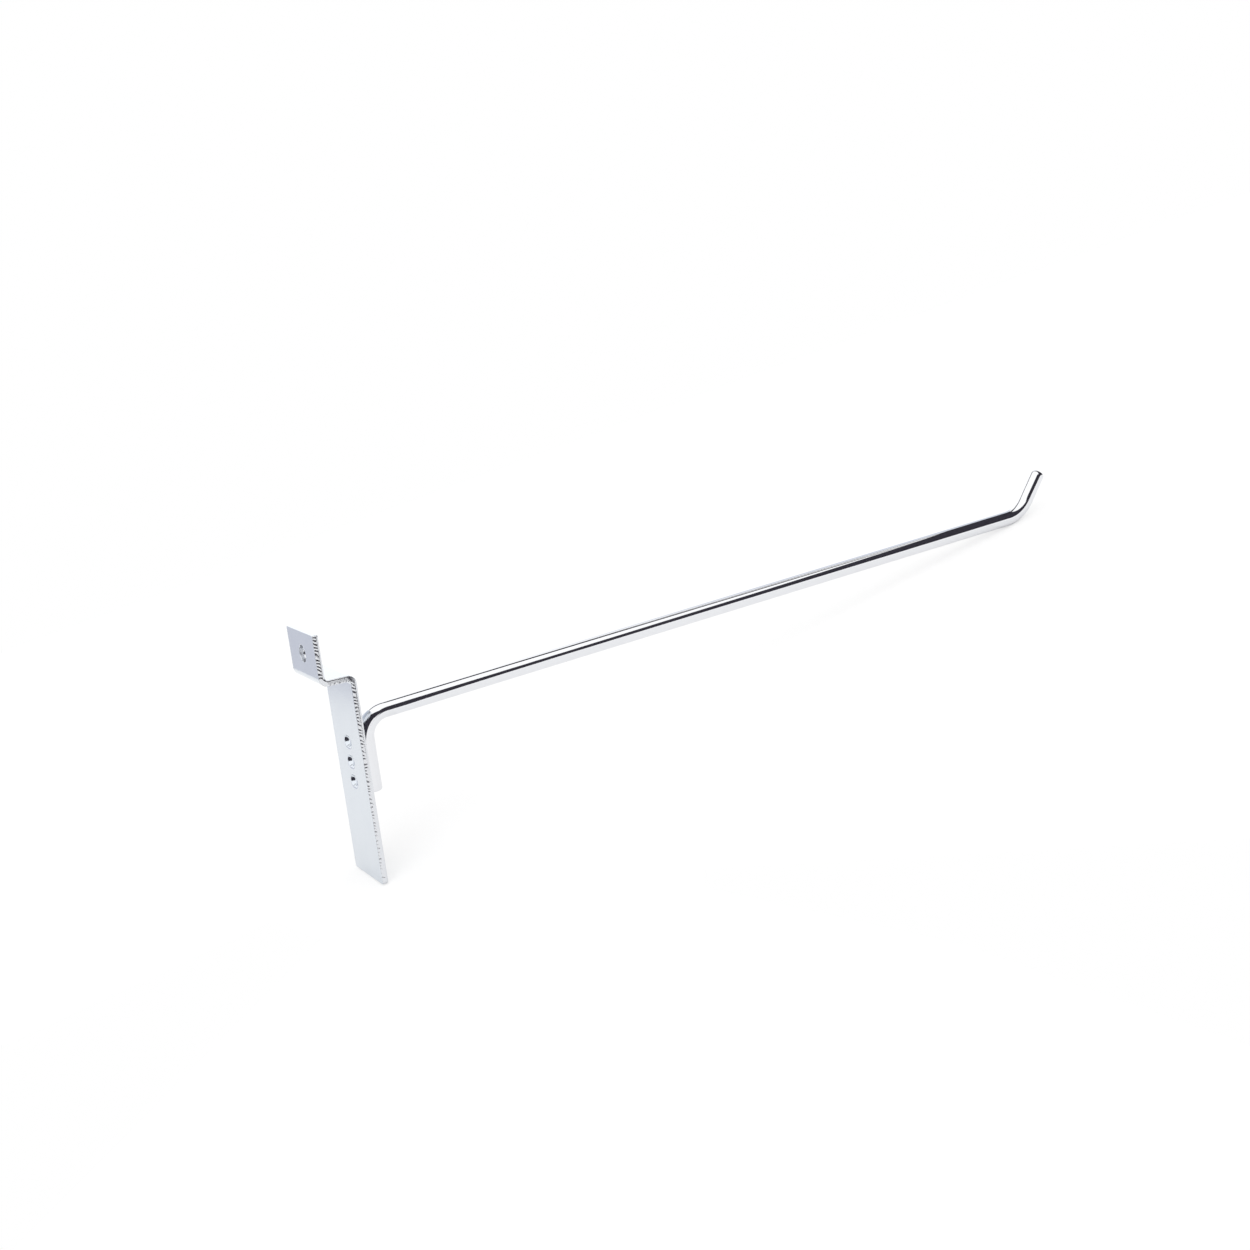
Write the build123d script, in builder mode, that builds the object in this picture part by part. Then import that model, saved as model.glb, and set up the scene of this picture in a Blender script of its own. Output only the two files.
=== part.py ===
"""Slatwall hook: a steel strip folded into a Z, with a bent wire arm welded to its front.

Millimetres. X runs across the strip, -Y points out of the wall along the arm and +Z is up. The origin is in the
middle of the strip's width, at the corner of the plate's back face and the underside of the step, where the top
edge of the lower slat sits.
"""

import os
from math import cos, radians, sin

from build123d import *

# Folded strip
strip_width = 25.0
strip_thickness = 2.0
fold_inside_radius = 1.0
plate_drop = 69.0  # underside of the step to the foot of the plate
tab_height = 17.0  # underside of the step to the top of the tab
lip_gap = 8.2  # plane of the plate's back to the tab's front face
tab_corner_radius = 0.6
foot_corner_radius = 1.2

# Screw hole in the tab
hole_diameter = 5.5
hole_height = 9.5  # underside of the step to the middle of the hole

# Bent wire
wire_diameter = 6.0
leg_bend_inside_radius = 5.5
tip_bend_inside_radius = 12.0
reach = 300.0  # plate's front face to the foremost point of the tip
arm_drop = 15.0  # underside of the step to where the arm's axis meets the leg's
arm_rise = 3.0  # degrees above level
tip_turn = 50.0  # degrees up from the arm
tip_length = 19.2  # corner of the axes to the tip's end
tip_end_radius = 1.5
leg_end_radius = 0.8

# Welding projections, oblong across the strip
weld_count = 3
weld_pitch = 6.8
weld_first_drop = 7.5  # arm's axis to the top projection
weld_last_margin = 4.7  # bottom projection to the leg's end
wire_standoff = 1.1  # clear space that the projections leave between plate and wire
weld_sink = 0.25  # how far the wire has sunk into them
dimple_width = 6.2
dimple_height = 4.4
dimple_depth = 1.2
dimple_floor_radius = 1.0
projection_margin = 0.3  # foot of the projection past the dimple's rim, all round
projection_crown_radius = 0.8
punch_taper = 40.0  # degrees, on the walls of dimple and projection

# Places worked out from the sizes
wire_radius = wire_diameter / 2
tab_back = lip_gap + strip_thickness
leg_axis = -(strip_thickness + wire_standoff + wire_radius)
weld_drops = [arm_drop + weld_first_drop + step * weld_pitch for step in range(weld_count)]

rise = radians(arm_rise)
tip_angle = radians(arm_rise + tip_turn)
tip_nose = (wire_radius - tip_end_radius) * sin(tip_angle) + tip_end_radius * (1 - cos(tip_angle))
tip_run = tip_length * cos(tip_angle) + tip_nose
arm_run = reach - wire_standoff - wire_radius - tip_run
arm_length = arm_run / cos(rise)

leg_end = (leg_axis, -weld_drops[-1] - weld_last_margin)
leg_corner = (leg_axis, -arm_drop)
elbow = (leg_axis - arm_run, -arm_drop + arm_length * sin(rise))
tip_end = (elbow[0] - tip_length * cos(tip_angle), elbow[1] + tip_length * sin(tip_angle))

os.makedirs("parts", exist_ok=True)

# Wire: leg, long arm and upturned tip in one length, with its cut ends rounded
with BuildPart() as hook_arm:
    with BuildLine(Plane.YZ) as wire_axis:
        FilletPolyline(
            leg_end,
            leg_corner,
            elbow,
            tip_end,
            radius=[leg_bend_inside_radius + wire_radius, tip_bend_inside_radius + wire_radius],
        )
    with BuildSketch(Plane(wire_axis.line @ 0, z_dir=wire_axis.line % 0)):
        Circle(wire_radius)
    sweep()
    fillet(hook_arm.faces().sort_by(Axis.Z)[0].edges(), radius=leg_end_radius)
    fillet(hook_arm.faces().sort_by(Axis.Z)[-1].edges(), radius=tip_end_radius)

# What the punch presses out of the strip's back, with its rim on the back face
with BuildPart() as dimple:
    with BuildSketch(Plane.XZ):
        SlotOverall(dimple_width, dimple_height)
    extrude(amount=dimple_depth, taper=punch_taper)
    fillet(dimple.faces().sort_by(Axis.Y)[0].edges(), radius=dimple_floor_radius)

# What stands up on the strip's front, before the wire is pressed into it
with BuildPart() as projection:
    with BuildSketch(Plane.XZ.offset(strip_thickness)):
        SlotOverall(dimple_width + 2 * projection_margin, dimple_height + 2 * projection_margin)
    extrude(amount=wire_standoff + weld_sink, taper=punch_taper)
    fillet(projection.faces().sort_by(Axis.Y)[0].edges(), radius=projection_crown_radius)

# Strip: plate, step and tab folded from one length, with the hole, the corners and the projections
with BuildPart() as back_plate:
    with BuildSketch(Plane.YZ):
        with BuildLine():
            FilletPolyline(
                (0, -plate_drop),
                (0, 0),
                (tab_back, 0),
                (tab_back, tab_height),
                radius=[fold_inside_radius, fold_inside_radius + strip_thickness],
            )
            offset(amount=strip_thickness, side=Side.LEFT)
        make_face()
    extrude(amount=strip_width / 2, both=True)
    fillet(back_plate.edges().filter_by(Axis.Y).group_by(Axis.Z)[-1], radius=tab_corner_radius)
    fillet(back_plate.edges().filter_by(Axis.Y).group_by(Axis.Z)[0], radius=foot_corner_radius)
    with Locations(Plane((0, tab_back, hole_height), z_dir=(0, 1, 0))):
        Hole(hole_diameter / 2, depth=strip_thickness)
    with Locations([(0, 0, -drop) for drop in weld_drops]):
        add(projection.part)
        add(dimple.part, mode=Mode.SUBTRACT)
    add(hook_arm.part, mode=Mode.SUBTRACT)

hook_arm.part.label = "hook_arm"
export_step(hook_arm.part, "parts/hook_arm.step")

back_plate.part.label = "back_plate"
export_step(back_plate.part, "parts/back_plate.step")
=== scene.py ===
"""Slatwall hook: a chromed steel strip folded into a Z, with a long chromed wire arm welded to its front.

Metres, in the frame of the CAD model: X across the strip, -Y out along the arm, +Z up. Sizes are written in
millimetres and turned into metres where a mesh is made.
"""

from collections import namedtuple
from math import acos, asin, atan2, cos, hypot, pi, radians, sin, sqrt, tan

import bmesh
import bpy
from mathutils import Matrix, Vector, noise


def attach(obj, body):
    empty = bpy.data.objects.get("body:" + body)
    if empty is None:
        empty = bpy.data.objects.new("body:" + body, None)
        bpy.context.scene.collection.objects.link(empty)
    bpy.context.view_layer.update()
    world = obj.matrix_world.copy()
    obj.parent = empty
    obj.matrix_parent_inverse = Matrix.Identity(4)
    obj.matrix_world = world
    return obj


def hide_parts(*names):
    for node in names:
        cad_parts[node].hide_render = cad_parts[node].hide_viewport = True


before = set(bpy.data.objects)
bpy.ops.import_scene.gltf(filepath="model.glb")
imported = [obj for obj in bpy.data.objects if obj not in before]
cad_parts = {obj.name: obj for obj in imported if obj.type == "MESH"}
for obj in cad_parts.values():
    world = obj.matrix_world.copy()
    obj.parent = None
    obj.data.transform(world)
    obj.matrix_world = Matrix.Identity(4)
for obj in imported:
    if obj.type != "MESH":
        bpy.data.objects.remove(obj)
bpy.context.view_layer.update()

# Back plate
# One length of 25 x 2 mm steel strip, sheared to width, folded into a Z and chromed after welding. The tab at the
# rear has a punched hole, and three oblong dimples in the plate stand up on its front as welding projections.
strip_half_width = 12.5
strip_thickness = 2.0
plate_drop = 69.0  # underside of the step to the foot
tab_height = 17.0  # underside of the step to the top of the tab
tab_back = 10.2
fold_radius = 1.0  # inside the fold
fold_outer_radius = fold_radius + strip_thickness
foot_corner_radius = 1.2
tab_corner_radius = 0.6
end_edge_radius = 0.25

hole_radius = 2.75
hole_height = 9.5
hole_rim_radius = 0.2
hole_patch = 4.2  # half the side of the square of mesh round the hole

weld_heights = [-22.5, -29.3, -36.1]
dimple_half_run = 0.9
dimple_radius = 2.2
dimple_depth = 1.5
dimple_roundness = 2.6
bump_margin = 0.3
bump_height = 1.35
bump_slope = tan(radians(50))
bump_crown_blend = 0.6
punch_rim_blend = 0.3
punch_rim_reach = 0.4  # how far a rounded rim reaches past its outline
punched_half_width = 5.0  # the part of the plate that one dimple changes
punched_half_height = 3.5
wire_radius = 3.0
wire_line = -6.1  # axis of the wire's leg
weld_overlap = 0.03  # shared by projection and wire, so that no gap shows

Row = namedtuple("Row", "y z through_y through_z length gap fold")
far_from_ends = 20.0  # a gap at which neither end of the strip has an effect


def steps(start, stop, spacing):
    """Evenly spaced values from start to stop, both ends among them."""
    count = max(1, round(abs(stop - start) / spacing))
    return [start + (stop - start) * i / count for i in range(count + 1)]


def quarter(radius, count):
    """Distances from an end at which a rounded corner of that radius gets a row."""
    return [radius * (1 - cos(pi / 2 * i / count)) for i in range(count + 1)]


def drawn_in(radius, distance):
    """How far a rounded corner has drawn in the outline at a distance from its end."""
    if distance >= radius:
        return 0.0
    return radius - sqrt(radius * radius - (radius - distance) ** 2)


def between(value, low, high):
    """A smooth rise from 0 at low to 1 at high."""
    share = min(1.0, max(0.0, (value - low) / (high - low)))
    return share * share * (3 - 2 * share)


def soft_limit(value, limit, blend):
    """The smaller of a value and a limit, with a rounded change between the two."""
    overlap = max(blend - abs(value - limit), 0.0) / blend
    return min(value, limit) - overlap * overlap * blend / 4


def bump_form(inset):
    """Height of a projection at a distance inside its outline: a sloping side, then a flat crown."""
    side = soft_limit(inset * bump_slope, bump_height, bump_crown_blend)
    return max(0.0, -soft_limit(-side, 0.0, punch_rim_blend)) if inset > -punch_rim_reach else 0.0


def dimple_form(inset):
    """Depth of a dimple at a distance inside its outline: steep at the rounded rim, then a shallow bowl."""
    share = inset / dimple_radius
    bowl = dimple_roundness * share if share < 0 else 1 - (1 - share) ** dimple_roundness
    return max(0.0, -soft_limit(-dimple_depth * bowl, 0.0, punch_rim_blend)) if inset > -punch_rim_reach else 0.0


# Rows along the strip. Each has its place on the back face, the direction through the thickness, the length from
# the foot, the gap to the nearer end and how far it is into a fold, with a minus where the inside of the fold is the
# front of the strip.
row_spacing = 0.18
weld_row_spacing = 0.17
tab_row_spacing = 0.1
welds_low, welds_high = -39.5, -19.0
fold_steps = 16
end_edge_rows, foot_corner_rows, tab_corner_rows = 4, 8, 6
fold_length = (fold_radius + strip_thickness / 2) * pi / 2
end_gaps = quarter(end_edge_radius, end_edge_rows)
foot_gaps = sorted(set(end_gaps + quarter(foot_corner_radius, foot_corner_rows)))
top_gaps = sorted(set(end_gaps + quarter(tab_corner_radius, tab_corner_rows)))

levels = [-plate_drop + gap for gap in foot_gaps]
levels += steps(-plate_drop + foot_corner_radius, welds_low, row_spacing)[1:]
levels += steps(welds_low, welds_high, weld_row_spacing)[1:]
levels += steps(welds_high, -fold_radius, row_spacing)[1:]
rows = [Row(0.0, z, -1.0, 0.0, z + plate_drop, z + plate_drop, 0.0) for z in levels]

length = plate_drop - fold_radius
for i in range(1, fold_steps + 1):
    share = i / fold_steps
    y, z = cos(pi - pi / 2 * share), sin(pi - pi / 2 * share)
    rows.append(Row(fold_radius * (1 + y), fold_radius * (z - 1), y, z, length + fold_length * share, far_from_ends,
                    sin(pi * share)))

length += fold_length
step_end = tab_back - fold_outer_radius
for y in steps(fold_radius, step_end, row_spacing)[1:]:
    rows.append(Row(y, 0.0, 0.0, 1.0, length + y - fold_radius, far_from_ends, 0.0))

length += step_end - fold_radius
for i in range(1, fold_steps + 1):
    share = i / fold_steps
    y, z = cos(pi / 2 * share - pi / 2), sin(pi / 2 * share - pi / 2)
    rows.append(Row(step_end + fold_outer_radius * y, fold_outer_radius * (1 + z), -y, -z,
                    length + fold_length * share, far_from_ends, -sin(pi * share)))

length += fold_length
tab_start = length - fold_outer_radius
levels = steps(fold_outer_radius, hole_height - hole_patch, tab_row_spacing)[1:]
patch_low_row = len(rows) + len(levels) - 1
levels += steps(hole_height - hole_patch, hole_height + hole_patch, tab_row_spacing)[1:]
patch_high_row = len(rows) + len(levels) - 1
levels += steps(hole_height + hole_patch, tab_height - tab_corner_radius, tab_row_spacing)[1:]
levels += [tab_height - gap for gap in reversed(top_gaps)][1:]
rows += [Row(tab_back, z, -1.0, 0.0, tab_start + z, tab_height - z, 0.0) for z in levels]

# Columns across each face, close together in the middle, where the hole and the dimples are. Those outside the fixed
# ones move with the edge.
column_spacing = 0.28
fixed_half = 9.0
fine = steps(-hole_patch, hole_patch, column_spacing)
outer = [5.0, 6.0, 7.0, 8.0, 9.0, 10.0, 11.0, 11.6, 12.0]
columns = [-x for x in reversed(outer)] + fine + outer
patch_first = len(outer)
patch_last = len(outer) + len(fine) - 1

# Sheared edges. The shear rolls the front corner over, burnishes the steel behind it and tears the rest into slanting
# ridges: deep on the tab, shallow on the step and in patches on the plate. A fold squeezes the edge out on its inside
# and draws it in on its outside.
back_edge_radius = 0.08
back_edge_steps = 4
torn_steps = 5
roll_over_depth = 0.9
roll_over_width = 0.35
roll_over_steps = 9
step_roll_over_loss = 0.45
step_low, step_high = plate_drop - 1.5, plate_drop + 0.5
tab_tear_reach = 1.15
tab_tear_start, tab_tear_full = 0.6, 1.6  # from the top of the tab
tab_fold_end = 0.5
step_tear_reach = 0.3
plate_tear_reach, plate_tear_patches = 0.85, 0.5
plate_roughness, plate_roughness_patches = 0.68, 0.4
plate_roughness_loss = 0.1  # from the foot up to the step
patch_length = 1.9
patch_seed = 4.1
tear_spacing = 1.25
tear_slant = 0.35
tear_drift = 0.75
tear_height = 0.095
tear_sink = 0.02
tear_fade_before, tear_fade_after = 0.25, 0.15
drift_length, drift_depth = 2.5, 1.5
side_seed = 7.3
fold_squeeze = 0.07
fold_draw = 0.22
edge_room = 0.1  # left inside the full width for what stands out
width_margin = 0.01
flat_margin = 0.1


def tearing(row):
    """How far torn steel reaches from the back of the strip, and how rough it is: the plate is the smoothest."""
    if row.length > tab_start + fold_radius:
        reach = tab_tear_reach * between(row.gap, tab_tear_start, tab_tear_full)
        return reach * (1 - between(abs(row.fold), 0.0, tab_fold_end)), 1.0
    if row.length > plate_drop - fold_radius:
        return step_tear_reach, 1.0
    patchy = noise.noise(Vector((row.length / patch_length, 0.0, patch_seed)))
    roughness = plate_roughness - plate_roughness_loss * between(row.length, 0.0, plate_drop)
    return plate_tear_reach + plate_tear_patches * patchy, roughness + plate_roughness_patches * patchy


def sheared_edge(row, half, thin, side):
    """One edge of the strip from back to front: a ragged corner, torn steel and the rolled-over corner."""
    low = thin + back_edge_radius
    on_step = between(row.length, step_low, step_high)
    on_step *= 1 - between(row.length, tab_start, tab_start + fold_outer_radius)
    roll_over = roll_over_depth - step_roll_over_loss * on_step
    high = strip_thickness - thin - roll_over
    outline = []
    for i in range(back_edge_steps + 1):
        turn = pi / 2 * i / back_edge_steps
        outline.append((back_edge_radius * (1 - sin(turn)), thin + back_edge_radius * (1 - cos(turn))))
    outline += [(0.0, depth) for depth in steps(low, high, (high - low) / torn_steps)[1:-1]]
    for i in range(roll_over_steps + 1):
        turn = pi / 2 * i / roll_over_steps
        outline.append((roll_over_width * (1 - cos(turn)), high + roll_over * sin(turn)))
    edge = []
    torn_reach, roughness = tearing(row)
    for inset, depth in outline:
        torn = roughness * (1 - between(depth, torn_reach - tear_fade_before, torn_reach + tear_fade_after))
        drift = noise.noise(Vector((row.length / drift_length, depth / drift_depth, side * side_seed)))
        along = row.length / tear_spacing + tear_slant * depth + tear_drift * drift
        tears = asin(sin(2 * pi * along)) * 2 / pi
        relief = torn * (tear_height * tears - tear_sink)
        outside = depth / strip_thickness if row.fold > 0 else 1 - depth / strip_thickness
        swell = abs(row.fold) * (fold_squeeze - fold_draw * outside * outside)
        weight = 1 - min(1.0, inset / back_edge_radius)
        reach = half - edge_room - inset + weight * (relief + swell)
        edge.append((side * min(reach, strip_half_width - width_margin), depth))
    return edge


def section(row):
    """The closed outline of the strip across one row, as places (x, depth from the back)."""
    corner = foot_corner_radius if row.length < plate_drop / 2 else tab_corner_radius
    half = strip_half_width - drawn_in(corner, row.gap)
    thin = drawn_in(end_edge_radius, row.gap)
    flat_half = half - edge_room - roll_over_width - flat_margin
    back = []
    front = []
    for x in columns:
        if abs(x) > fixed_half:
            moved = fixed_half + (abs(x) - fixed_half) * (flat_half - fixed_half) / (outer[-1] - fixed_half)
            x = moved * (1 if x > 0 else -1)
        dent = bump = 0.0
        for weld in weld_heights:
            if row.y == 0.0 and abs(x) < punched_half_width and abs(row.z - weld) < punched_half_height:
                inset = dimple_radius - hypot(max(abs(x) - dimple_half_run, 0.0), row.z - weld)
                dent += dimple_form(inset)
                bump += bump_form(inset + bump_margin)
        if bump and abs(x) < wire_radius:
            seat = -strip_thickness - wire_line - sqrt(wire_radius**2 - x * x) + weld_overlap
            bump = min(bump, seat)
        back.append((x, thin + dent))
        front.append((x, strip_thickness - thin + bump))
    right = sheared_edge(row, half, thin, 1)
    left = sheared_edge(row, half, thin, -1)
    return back + right + front[::-1] + left[::-1]


points = []
places = []


def put(x, depth, row):
    """Adds one point of the strip and returns its number."""
    points.append((x / 1000, (row.y + row.through_y * depth) / 1000, (row.z + row.through_z * depth) / 1000))
    places.append((x / 1000, row.length / 1000, depth / 1000))
    return len(points) - 1


rings = [[put(x, depth, row) for x, depth in section(row)] for row in rows]
ring_size = len(rings[0])
column_count = len(columns)
front_start = ring_size // 2
faces = []
for r in range(len(rings) - 1):
    for i in range(ring_size):
        column = i if i < column_count else front_start + column_count - 2 - i
        if patch_low_row <= r < patch_high_row and patch_first <= column < patch_last:
            continue
        k = (i + 1) % ring_size
        faces.append((rings[r][i], rings[r][k], rings[r + 1][k], rings[r + 1][i]))

# Cut ends: a narrow border just inside the rounded edge, then strips across the thickness
border_across, border_through = 0.992, 0.86
mid_depth = strip_thickness / 2
for ring, row in ((rings[0], rows[0]), (rings[-1], rows[-1])):
    inner = []
    for number in ring:
        x, depth = places[number][0] * 1000, places[number][2] * 1000
        inner.append(put(x * border_across, mid_depth + (depth - mid_depth) * border_through, row))
    for i in range(ring_size):
        k = (i + 1) % ring_size
        faces.append((ring[i], ring[k], inner[k], inner[i]))
    for i in range(column_count - 1):
        across = front_start + column_count - 1 - i
        faces.append((inner[i], inner[i + 1], inner[across - 1], inner[across]))
    faces.append(inner[column_count - 1:front_start + 1])
    faces.append(inner[front_start + column_count - 1:] + inner[:1])

# Punched hole: rings from the square patch on the back, through the strip, to the patch on the front. The punch comes
# from the front, so the steel breaks out a little wider at the back.
to_hole = (0.3, 0.6, 0.85)
rim_steps = 4
wall_spacing = 0.16
break_out = 0.1
break_out_change = 0.02
break_out_full, break_out_end = 0.5, 1.3
break_out_lobes, break_out_depth = 2.5, 1.5
patch_rows = range(patch_low_row, patch_high_row + 1)
patch_columns = range(patch_first, patch_last + 1)
around = [(patch_low_row, c) for c in patch_columns]
around += [(r, patch_last) for r in patch_rows][1:]
around += [(patch_high_row, c) for c in reversed(patch_columns)][1:]
around += [(r, patch_first) for r in reversed(patch_rows)][1:-1]
rim_turns = [pi / 2 * i / rim_steps for i in range(rim_steps + 1)]
rim = [(hole_rim_radius * (1 - cos(turn)), hole_rim_radius * (1 - sin(turn))) for turn in rim_turns]
wall = steps(hole_rim_radius, strip_thickness - hole_rim_radius, wall_spacing)[1:-1]
profile = [(0.0, hole_rim_radius, share) for share in to_hole]
profile += [(depth, wider, 1.0) for depth, wider in rim]
profile += [(depth, 0.0, 1.0) for depth in wall]
profile += [(strip_thickness - depth, wider, 1.0) for depth, wider in reversed(rim)]
profile += [(strip_thickness, hole_rim_radius, share) for share in reversed(to_hole)]
hole_rings = [[rings[r][c] for r, c in around]]
for depth, wider, share in profile:
    ring = []
    broken = 1 - between(depth, break_out_full, break_out_end)
    for r, c in around:
        x, z = columns[c], rows[r].z - hole_height
        far = hypot(x, z)
        lobe = Vector((break_out_lobes * x / far, break_out_lobes * z / far, depth / break_out_depth))
        edge = hole_radius + wider + broken * (break_out + break_out_change * noise.noise(lobe))
        reach = far + (edge - far) * share
        level = hole_height + z / far * reach
        row = Row(tab_back, level, -1.0, 0.0, tab_start + level, far_from_ends, 0.0)
        ring.append(put(x / far * reach, depth, row))
    hole_rings.append(ring)
hole_rings.append([rings[r][front_start + column_count - 1 - c] for r, c in around])
for first, second in zip(hole_rings, hole_rings[1:]):
    for i in range(len(around)):
        k = (i + 1) % len(around)
        faces.append((first[i], first[k], second[k], second[i]))


def solid(name, points, faces, places):
    """A smooth closed mesh, with each point's place on the unbent stock kept beside it."""
    mesh = bpy.data.meshes.new(name)
    mesh.from_pydata(points, [], faces)
    kept = mesh.attributes.new("stock_place", "FLOAT_VECTOR", "POINT")
    kept.data.foreach_set("vector", [value for place in places for value in place])
    work = bmesh.new()
    work.from_mesh(mesh)
    bmesh.ops.recalc_face_normals(work, faces=work.faces)
    work.to_mesh(mesh)
    work.free()
    mesh.shade_smooth()
    piece = bpy.data.objects.new(name, mesh)
    bpy.context.scene.collection.objects.link(piece)
    return piece


strip = solid("folded_strip", points, faces, places)


def linear(colour):
    """An sRGB hex colour as Blender's linear red, green, blue and alpha."""
    parts = [int(colour[i:i + 2], 16) / 255 for i in (1, 3, 5)]
    return [p / 12.92 if p <= 0.04045 else ((p + 0.055) / 1.055) ** 2.4 for p in parts] + [1.0]


def add(tree, kind, inputs=None, **settings):
    """Adds a node with its settings; an input is a plain value, or the output that is linked to it."""
    node = tree.nodes.new(kind)
    for name, value in settings.items():
        setattr(node, name, value)
    for name, value in (inputs or {}).items():
        if isinstance(value, bpy.types.NodeSocket):
            tree.links.new(value, node.inputs[name])
        else:
            node.inputs[name].default_value = value
    return node


# Chrome plate over rolled strip: the bright plating follows the fine lengthwise grain of the rolled steel under it,
# so the faces give a slightly soft mirror with a cool tint and hardly any contrast of their own. The grain is drawn
# coarser than the real one, so that it shows.
grain_width, grain_length = 0.5, 6.0
cloud_width, cloud_length = 6.0, 14.0
rolled_chrome = bpy.data.materials.new("chrome_on_rolled_strip")
rolled_chrome.use_nodes = True
tree = rolled_chrome.node_tree
shader = tree.nodes["Principled BSDF"]
shader.inputs["Metallic"].default_value = 1.0
place = add(tree, "ShaderNodeAttribute", attribute_name="stock_place").outputs["Vector"]
grain_scale = (1000 / grain_width, 1000 / grain_length, 1000 / grain_width)
grain_place = add(tree, "ShaderNodeVectorMath", {0: place, 1: grain_scale}, operation="MULTIPLY")
grain = add(tree, "ShaderNodeTexNoise", {"Vector": grain_place.outputs["Vector"], "Scale": 1.0, "Detail": 3.0})
cloud_scale = (1000 / cloud_width, 1000 / cloud_length, 1000 / cloud_width)
cloud_place = add(tree, "ShaderNodeVectorMath", {0: place, 1: cloud_scale}, operation="MULTIPLY")
cloud = add(tree, "ShaderNodeTexNoise", {"Vector": cloud_place.outputs["Vector"], "Scale": 1.0, "Detail": 2.0})
tone = add(tree, "ShaderNodeMix", {"Factor": cloud.outputs["Fac"], "A": linear("#ced4db"), "B": linear("#d6dbe1")},
           data_type="RGBA")
tree.links.new(tone.outputs["Result"], shader.inputs["Base Color"])
gloss = add(tree, "ShaderNodeMapRange", {"Value": grain.outputs["Fac"], "To Min": 0.10, "To Max": 0.20})
tree.links.new(gloss.outputs["Result"], shader.inputs["Roughness"])
bump = add(tree, "ShaderNodeBump", {"Height": grain.outputs["Fac"], "Strength": 0.05, "Distance": 0.0002})
tree.links.new(bump.outputs["Normal"], shader.inputs["Normal"])

# Chrome plate over a sheared edge: the shear leaves a smooth burnished strip on the front side and torn steel behind
# it, and the plating makes every tear glitter black and white. The fine grit of the torn steel lies over the tears.
grit_width, grit_depth = 0.3, 0.5
torn_chrome = bpy.data.materials.new("chrome_on_sheared_edge")
torn_chrome.use_nodes = True
tree = torn_chrome.node_tree
shader = tree.nodes["Principled BSDF"]
shader.inputs["Metallic"].default_value = 1.0
shader.inputs["Base Color"].default_value = linear("#dadce0")
place = add(tree, "ShaderNodeAttribute", attribute_name="stock_place").outputs["Vector"]
grit_scale = (1000 / grit_width, 1000 / grit_width, 1000 / grit_depth)
grit_place = add(tree, "ShaderNodeVectorMath", {0: place, 1: grit_scale}, operation="MULTIPLY")
grit = add(tree, "ShaderNodeTexNoise", {"Vector": grit_place.outputs["Vector"], "Scale": 1.0, "Detail": 4.0})
gloss = add(tree, "ShaderNodeMapRange", {"Value": grit.outputs["Fac"], "To Min": 0.10, "To Max": 0.25})
tree.links.new(gloss.outputs["Result"], shader.inputs["Roughness"])
bump = add(tree, "ShaderNodeBump", {"Height": grit.outputs["Fac"], "Strength": 0.15, "Distance": 0.0002})
tree.links.new(bump.outputs["Normal"], shader.inputs["Normal"])

# Faces that look sideways near the strip's edges, and the wall of the hole, are sheared
edge_facing = 0.4
edge_from = 10.5
tab_from = 4.0
hole_wall_margin = 0.12
strip.data.materials.append(rolled_chrome)
strip.data.materials.append(torn_chrome)
for face in strip.data.polygons:
    on_edge = abs(face.normal.x) > edge_facing and abs(face.center.x) > edge_from / 1000
    from_hole = hypot(face.center.x, face.center.z - hole_height / 1000)
    in_hole = face.center.z > tab_from / 1000 and from_hole < (hole_radius + hole_wall_margin) / 1000
    if on_edge or in_hole:
        face.material_index = 1

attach(strip, "root")
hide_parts("back_plate")

# Hook arm
# One length of 6 mm drawn steel wire, bent twice: a short leg that is welded to the plate's three projections, the
# long arm that rises a little, and the upturned tip. Its cut ends are rounded, and it is chromed with the strip.
leg_bend_radius = 8.5
tip_bend_radius = 15.0
leg_foot = Vector((wire_line, -40.8))
leg_corner = Vector((wire_line, -15.0))
elbow = Vector((-288.649, -0.192))
tip_end = Vector((-300.2, 15.142))
leg_end_radius, leg_end_rings = 0.8, 6
tip_end_radius, tip_end_rings = 1.5, 10
leg_end_clear = 2.5  # where the evenly spaced rings start
bend_step = radians(1.5)
ring_spacing = 3.0
tip_ring_spacing = 2.0
ring_points = 96


def bend(before, corner, after, radius, spacing):
    """Places on the arc that rounds one corner of the axis, each with its direction, and the arc's middle."""
    inward = (corner - before).normalized()
    onward = (after - corner).normalized()
    turn = acos(inward.dot(onward))
    side = 1.0 if inward.x * onward.y - inward.y * onward.x > 0 else -1.0
    start = corner - inward * radius * tan(turn / 2)
    middle = start + Vector((-inward.y, inward.x)) * side * radius
    arc = []
    for angle in steps(0.0, turn, spacing):
        spin = Matrix.Rotation(side * angle, 2)
        arc.append((middle + spin @ (start - middle), spin @ inward))
    return arc, middle


def straight(start, end, spacing):
    """Places along a straight run, without its first end."""
    run = end - start
    return [(start + run * share, run.normalized()) for share in steps(0.0, 1.0, spacing / run.length)[1:]]


lower_bend = bend(leg_foot, leg_corner, elbow, leg_bend_radius, bend_step)[0]
upper_bend, upper_middle = bend(leg_corner, elbow, tip_end, tip_bend_radius, bend_step)
axis = [(leg_foot, Vector((0.0, 1.0)))]
axis += straight(leg_foot, lower_bend[0][0], ring_spacing) + lower_bend[1:]
axis += straight(lower_bend[-1][0], upper_bend[0][0], ring_spacing) + upper_bend[1:]
axis += straight(upper_bend[-1][0], tip_end, tip_ring_spacing)

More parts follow.
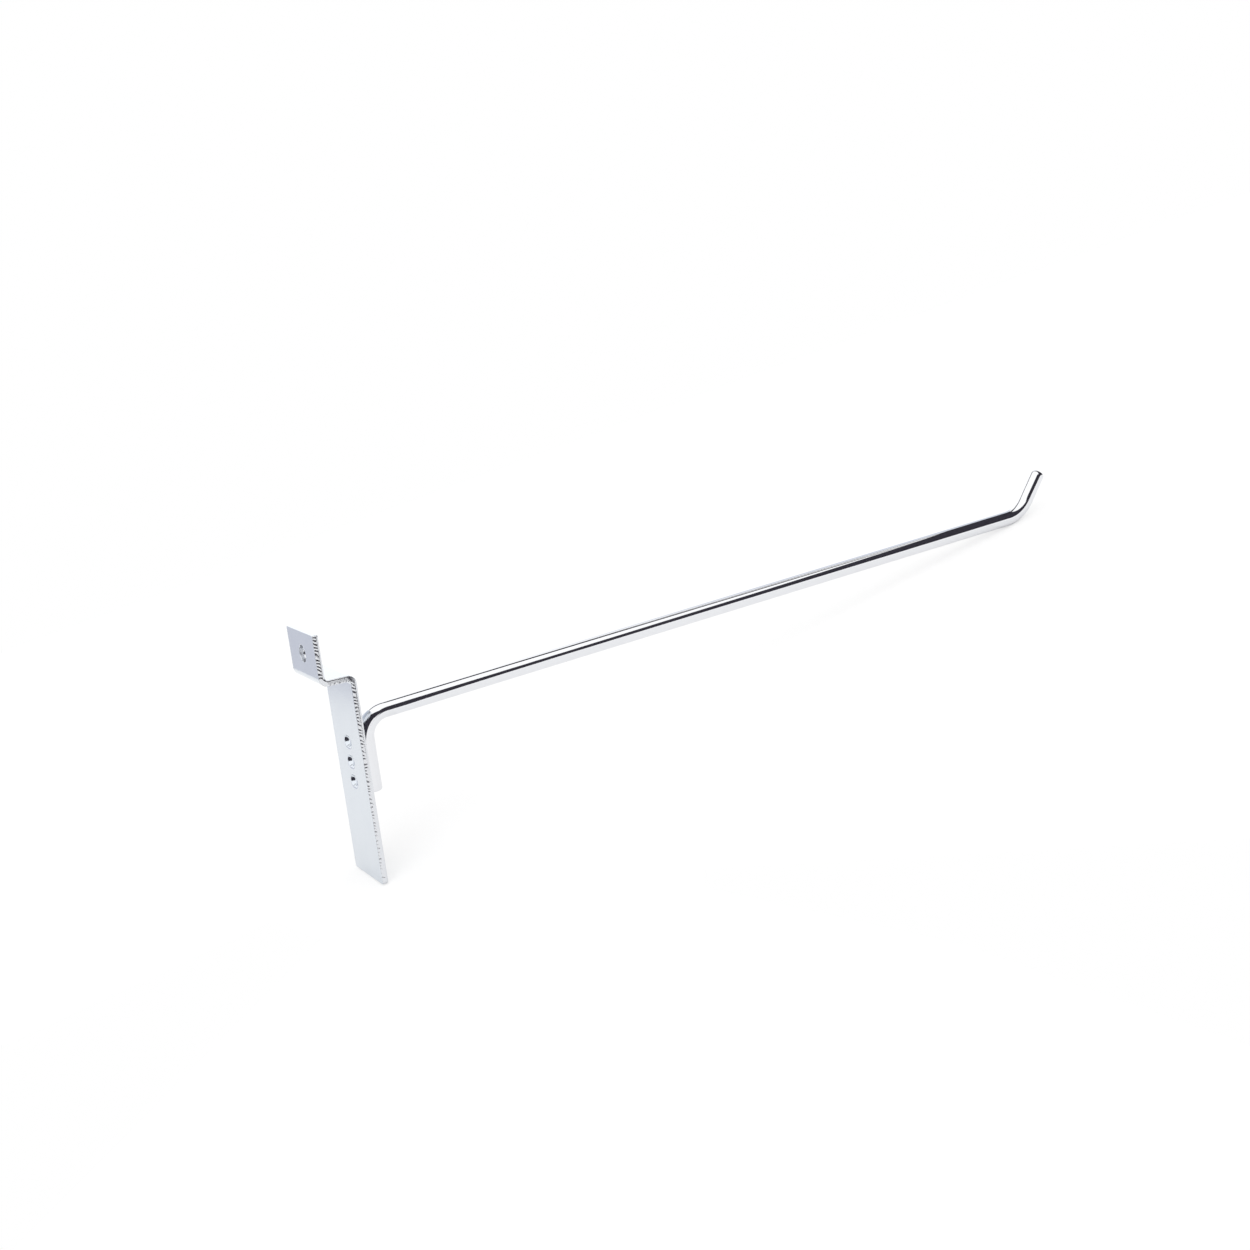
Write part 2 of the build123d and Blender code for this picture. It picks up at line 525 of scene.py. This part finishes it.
# Rings of the wire, each with its middle, its direction, its radius and its distance along the wire
lengths = [0.0]
for before, after in zip(axis, axis[1:]):
    lengths.append(lengths[-1] + (after[0] - before[0]).length)
wire_length = lengths[-1]
wire_rings = []
start, onward = axis[0]
for gap in quarter(leg_end_radius, leg_end_rings):
    wire_rings.append((start + onward * gap, onward, wire_radius - drawn_in(leg_end_radius, gap), gap))
for (middle, onward), length in zip(axis, lengths):
    if leg_end_clear <= length <= wire_length - tip_end_radius:
        wire_rings.append((middle, onward, wire_radius, length))
end, onward = axis[-1]
for gap in reversed(quarter(tip_end_radius, tip_end_rings)):
    wire_rings.append((end - onward * gap, onward, wire_radius - drawn_in(tip_end_radius, gap), wire_length - gap))

points = []
places = []
faces = []
for middle, onward, radius, length in wire_rings:
    across = Vector((onward.y, -onward.x))
    for i in range(ring_points):
        turn = 2 * pi * i / ring_points
        x = radius * cos(turn)
        spot = middle + across * radius * sin(turn)
        points.append((x / 1000, spot.x / 1000, spot.y / 1000))
        places.append((x / 1000, length / 1000, radius * sin(turn) / 1000))
for r in range(len(wire_rings) - 1):
    first, second = r * ring_points, (r + 1) * ring_points
    for i in range(ring_points):
        k = (i + 1) % ring_points
        faces.append((first + i, first + k, second + k, second + i))
faces.append(list(range(ring_points)))
faces.append(list(range((len(wire_rings) - 1) * ring_points, len(wire_rings) * ring_points)))
wire = solid("bent_wire", points, faces, places)

# Chrome plate over drawn wire: a clear mirror, with the faint lengthwise lines that the drawing die leaves. They are
# drawn wider than the real ones, so that they show.
die_line_width, die_line_length = 0.6, 30.0
drawn_chrome = bpy.data.materials.new("chrome_on_drawn_wire")
drawn_chrome.use_nodes = True
tree = drawn_chrome.node_tree
shader = tree.nodes["Principled BSDF"]
shader.inputs["Metallic"].default_value = 1.0
place = add(tree, "ShaderNodeAttribute", attribute_name="stock_place").outputs["Vector"]
die_scale = (1000 / die_line_width, 1000 / die_line_length, 1000 / die_line_width)
die_place = add(tree, "ShaderNodeVectorMath", {0: place, 1: die_scale}, operation="MULTIPLY")
die_lines = add(tree, "ShaderNodeTexNoise", {"Vector": die_place.outputs["Vector"], "Scale": 1.0, "Detail": 3.0})
tone = add(tree, "ShaderNodeMix", {"Factor": die_lines.outputs["Fac"], "A": linear("#e0e1e4"),
                                   "B": linear("#e5e6e9")}, data_type="RGBA")
tree.links.new(tone.outputs["Result"], shader.inputs["Base Color"])
gloss = add(tree, "ShaderNodeMapRange", {"Value": die_lines.outputs["Fac"], "To Min": 0.03, "To Max": 0.08})
tree.links.new(gloss.outputs["Result"], shader.inputs["Roughness"])
bump = add(tree, "ShaderNodeBump", {"Height": die_lines.outputs["Fac"], "Strength": 0.02, "Distance": 0.0002})
tree.links.new(bump.outputs["Normal"], shader.inputs["Normal"])
wire.data.materials.append(drawn_chrome)

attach(wire, "root")
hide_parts("hook_arm")

# Floor
# A plain white sheet. The hook lies loose on it, on the foot of its plate and the bend under its tip, so in the
# hook's own frame the sheet slopes up towards the tip. It shows from above only.
foot_edge = Vector((-strip_thickness, -plate_drop))
lean = upper_middle - foot_edge
bend_outside = tip_bend_radius + wire_radius
slope = atan2(lean.y, -lean.x) - atan2(bend_outside, sqrt(lean.length_squared - bend_outside**2))
floor_normal = Vector((0.0, sin(slope), cos(slope)))
floor_under = Vector((0.0, leg_corner.x, leg_corner.y))
floor_under -= floor_normal * (floor_under - Vector((0.0, foot_edge.x, foot_edge.y))).dot(floor_normal)
floor_along = Vector((0.0, -cos(slope), sin(slope)))

# Corners of the sheet, across and along from the point under the wire's near bend. Its outline is where white ends
# and the dark room begins in the chrome.
sheet_corners = [(50, -291), (8, -52), (-25, -46), (-185, -300), (-400, -140), (-900, 112), (-215, 60), (-122, 40),
                 (-112, 46), (-480, 285), (-480, 340), (-100, 345), (-100, 1000), (150, 1117), (573, -50)]
corners = [floor_under + Vector((x, 0.0, 0.0)) + floor_along * along for x, along in sheet_corners]
sheet = bpy.data.meshes.new("sheet")
sheet.from_pydata([corner / 1000 for corner in corners], [], [list(range(len(corners)))])
floor = bpy.data.objects.new("sheet", sheet)
bpy.context.scene.collection.objects.link(floor)

# White paper: plain and matt. Part of the white is the sheet's own, more of it for the camera than for the chrome, so
# the picture's ground stays white and the hook's soft shadow takes only a little off it.
own_white_seen = 0.6
own_white_mirrored = 0.06
paper = bpy.data.materials.new("white_paper")
paper.use_nodes = True
tree = paper.node_tree
tree.nodes.clear()
rays = add(tree, "ShaderNodeLightPath").outputs
in_metal = add(tree, "ShaderNodeMath", {0: rays["Is Glossy Ray"], 1: rays["Is Transmission Ray"]},
               operation="MAXIMUM")
own_white = add(tree, "ShaderNodeMath", {0: in_metal.outputs["Value"], 1: own_white_mirrored}, operation="MULTIPLY")
own_white = add(tree, "ShaderNodeMath", {0: rays["Is Camera Ray"], 1: own_white_seen,
                                         2: own_white.outputs["Value"]}, operation="MULTIPLY_ADD")
matt = add(tree, "ShaderNodeBsdfDiffuse", {"Color": linear("#f9f9f9")})
glow = add(tree, "ShaderNodeEmission", {"Color": linear("#ffffff"), "Strength": 1.0})
face = add(tree, "ShaderNodeMixShader", {0: own_white.outputs["Value"], 1: matt.outputs["BSDF"],
                                         2: glow.outputs["Emission"]})
below = add(tree, "ShaderNodeNewGeometry").outputs["Backfacing"]
clear = add(tree, "ShaderNodeBsdfTransparent")
sided = add(tree, "ShaderNodeMixShader", {0: below, 1: face.outputs["Shader"], 2: clear.outputs["BSDF"]})
add(tree, "ShaderNodeOutputMaterial", {"Surface": sided.outputs["Shader"]})
sheet.materials.append(paper)

# Camera
# It stands behind and to the left of the hook, a little above it, and is turned on its own axis as in the photo.
# Its place, aim and roll are in the hook's own frame.
camera_place = Vector((-534.34, 176.188, 127.182))
camera_aim = Vector((-16.539, -97.978, -2.105))
camera_roll = radians(7.065)
ahead = (camera_aim - camera_place).normalized()
level_right = ahead.cross(Vector((0.0, 0.0, 1.0))).normalized()
level_up = level_right.cross(ahead)
camera_up = level_up * cos(camera_roll) + level_right * sin(camera_roll)
camera_right = ahead.cross(camera_up)
camera_data = bpy.data.cameras.new("camera")
camera_data.sensor_width = 36.0
camera_data.lens = 50.709
camera = bpy.data.objects.new("camera", camera_data)
bpy.context.scene.collection.objects.link(camera)
turned = Matrix((camera_right, camera_up, -ahead)).transposed().to_4x4()
camera.matrix_world = Matrix.Translation(camera_place / 1000) @ turned
bpy.context.scene.camera = camera

# Studio light
# A broad soft lamp above the camera makes the shadow. All round it is a white studio, in which the chrome sees two
# dark boards, a dark room beside and behind the camera, a grey wall on the left and gaps between the light panels.
lamp_turn, lamp_rise = 168, 50
lamp_data = bpy.data.lights.new("soft_lamp", "SUN")
lamp_data.energy = 0.36 * pi
lamp_data.angle = radians(68)
lamp = bpy.data.objects.new("soft_lamp", lamp_data)
bpy.context.scene.collection.objects.link(lamp)
lamp.visible_glossy = False

floor_ahead = (ahead - floor_normal * ahead.dot(floor_normal)).normalized()
floor_right = floor_ahead.cross(floor_normal)


def towards(degrees):
    """A level direction, turned to the right from the camera's line by that many degrees."""
    return floor_ahead * cos(radians(degrees)) + floor_right * sin(radians(degrees))


def over(climb, degrees):
    """The upward normal of a plane that climbs by that much towards a level direction."""
    return (floor_normal - towards(degrees) * climb).normalized()


def aimed(degrees, rise):
    """A direction that is turned from the camera's line and rises from the level by so many degrees."""
    return towards(degrees) * cos(radians(rise)) + floor_normal * sin(radians(rise))


lamp.matrix_world = aimed(lamp_turn, lamp_rise).to_track_quat("Z", "Y").to_matrix().to_4x4()

# Two dark boards stand past the tip and beside the camera, out of the picture. Only the chrome shows them: their
# upper edges are the upper limits of the long dark band on the wire. Each top edge has a near and a far end, given
# ahead, to the right and up.
board_tops = [((195, 334, 70), (-11327, 7606, 5350)), ((-199, -9, 252), (-10841, 7317, 6053))]
board_foot = -220
board_corners = []
for ends in board_tops:
    tops = [floor_ahead * a + floor_right * b + floor_normal * c for a, b, c in ends]
    board_corners += tops + [top - floor_normal * (top.dot(floor_normal) - board_foot) for top in reversed(tops)]
board = bpy.data.meshes.new("dark_boards")
board.from_pydata([corner / 1000 for corner in board_corners], [], [[0, 1, 2, 3], [4, 5, 6, 7]])

# Black cotton cloth, woven and quite matt: an even near-black with no shine
black_cloth = bpy.data.materials.new("black_cloth")
black_cloth.use_nodes = True
shader = black_cloth.node_tree.nodes["Principled BSDF"]
shader.inputs["Base Color"].default_value = linear("#3a3840")
shader.inputs["Roughness"].default_value = 1.0
shader.inputs["Specular IOR Level"].default_value = 0.0
board.materials.append(black_cloth)
dark_boards = bpy.data.objects.new("dark_boards", board)
bpy.context.scene.collection.objects.link(dark_boards)
dark_boards.visible_camera = False
dark_boards.visible_diffuse = False
dark_boards.visible_shadow = False

# Each part of the studio has a colour and its limits: a direction, and the cosines where the part starts and is full.
# In turn: grey wall, cool panel, two gaps between the light panels, room on the right, room behind the camera, its
# lower left corner and a dark stand on the right.
white_panels = 1.31
grey_wall = linear("#e2e3ec")
cool_panel = linear("#e7ecf6")
gap_dark = linear("#303035")
room_dark = linear("#3e3c44")
below_room = (floor_normal, -0.45, -0.40)
studio = [
    (grey_wall, [(aimed(-55, 5), 0.87, 0.93)]),
    (cool_panel, [(aimed(36, 33), 0.951, 0.990)]),
    (gap_dark, [(over(5.98, -25.2), -0.03, -0.01), (-over(2.87, 1.4), -0.03, -0.01), (-floor_normal, -0.89, -0.87),
                (towards(-28), -0.02, 0.02)]),
    (gap_dark, [(-over(6.0, 5), -0.01, 0.01), (over(2.7, 5), -0.01, 0.01), (floor_normal, 0.65, 0.7)]),
    (room_dark, [(-floor_normal, -0.05, 0.0), below_room, (towards(185), -0.02, 0.02), (towards(62), -0.05, 0.05)]),
    (room_dark, [(-floor_normal, -0.34, -0.26), below_room, (towards(235), -0.05, 0.05),
                 (towards(155), -0.05, 0.05)]),
    (room_dark, [(aimed(-124, -22), 0.87, 0.91)]),
    (room_dark, [(aimed(110, 22.5), 0.9877, 0.9945)]),
]
world = bpy.data.worlds.new("white_studio")
world.use_nodes = True
bpy.context.scene.world = world
tree = world.node_tree
tree.nodes.clear()
look = add(tree, "ShaderNodeTexCoord").outputs["Generated"]
mirrored = (white_panels, white_panels, white_panels, 1.0)
for colour, limits in studio:
    part = None
    for direction, start, full in limits:
        cosine = add(tree, "ShaderNodeVectorMath", {0: look, 1: direction}, operation="DOT_PRODUCT")
        inside = add(tree, "ShaderNodeMapRange", {"Value": cosine.outputs["Value"], "From Min": start,
                                                  "From Max": full}).outputs["Result"]
        if part:
            inside = add(tree, "ShaderNodeMath", {0: part, 1: inside}, operation="MULTIPLY").outputs["Value"]
        part = inside
    mirrored = add(tree, "ShaderNodeMix", {"Factor": part, "A": mirrored, "B": colour},
                   data_type="RGBA").outputs["Result"]
rays = add(tree, "ShaderNodeLightPath").outputs
ambient = add(tree, "ShaderNodeBackground", {"Color": linear("#ffffff"), "Strength": 0.88})
studio_seen = add(tree, "ShaderNodeBackground", {"Color": mirrored, "Strength": 1.0})
white = add(tree, "ShaderNodeBackground", {"Color": linear("#ffffff"), "Strength": 1.0})
in_metal = add(tree, "ShaderNodeMath", {0: rays["Is Glossy Ray"], 1: rays["Is Transmission Ray"]},
               operation="MAXIMUM")
lit = add(tree, "ShaderNodeMixShader", {0: in_metal.outputs["Value"], 1: ambient.outputs["Background"],
                                        2: studio_seen.outputs["Background"]})
shown = add(tree, "ShaderNodeMixShader", {0: rays["Is Camera Ray"], 1: lit.outputs["Shader"],
                                          2: white.outputs["Background"]})
add(tree, "ShaderNodeOutputWorld", {"Surface": shown.outputs["Shader"]})

bpy.context.scene.view_settings.view_transform = "Standard"
